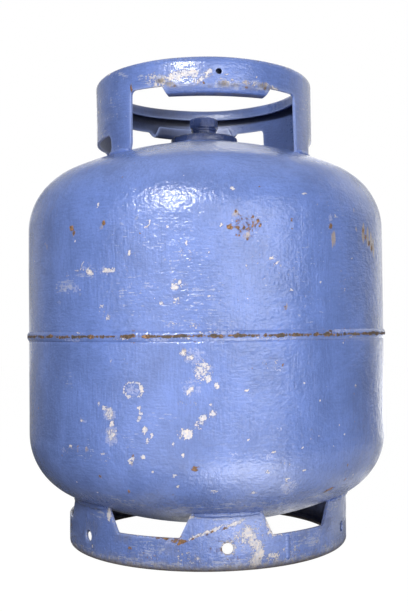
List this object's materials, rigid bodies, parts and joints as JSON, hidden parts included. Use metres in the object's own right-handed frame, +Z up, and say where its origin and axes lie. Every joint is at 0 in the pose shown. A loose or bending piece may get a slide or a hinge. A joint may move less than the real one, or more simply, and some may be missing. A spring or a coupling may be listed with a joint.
{
  "type": "portable steel gas cylinder",
  "caption": "Portable welded steel butane and propane cylinder with a pierced guard collar around its valve and a pierced foot ring, in worn blue paint.",
  "frame": {"origin": "centre of the foot ring's underside, on the floor", "axes": "+Z up along the cylinder's axis; -Y is the front, the side of the rim's small hole and a hand window; +X to the right"},
  "size_m": [0.3636, 0.3636, 0.465],
  "materials": {
    "blue_paint": "thick brushed enamel, chipped, scratched and rusted",
    "rubber": "matte",
    "brass": "dull",
    "solder": "dull grey alloy"
  },
  "bodies": {
    "root": {"upper_shell": "blue_paint", "lower_shell": "blue_paint", "girth_weld": "blue_paint", "collar": "blue_paint", "collar_seam_weld": "blue_paint", "collar_foot_weld_1": "blue_paint", "collar_foot_weld_2": "blue_paint", "collar_foot_weld_3": "blue_paint", "collar_foot_weld_4": "blue_paint", "valve_boss": "blue_paint", "boss_weld": "blue_paint", "valve_body": "blue_paint", "foot_ring": "blue_paint", "foot_seam_weld": "blue_paint", "foot_weld_1": "blue_paint", "foot_weld_2": "blue_paint", "foot_weld_3": "blue_paint", "foot_weld_4": "blue_paint", "foot_weld_5": "blue_paint", "foot_weld_6": "blue_paint", "valve_seal": "rubber", "valve_pin": "brass", "fusible_plug": "brass", "fusible_core": "solder"}
  },
  "joints": []
}
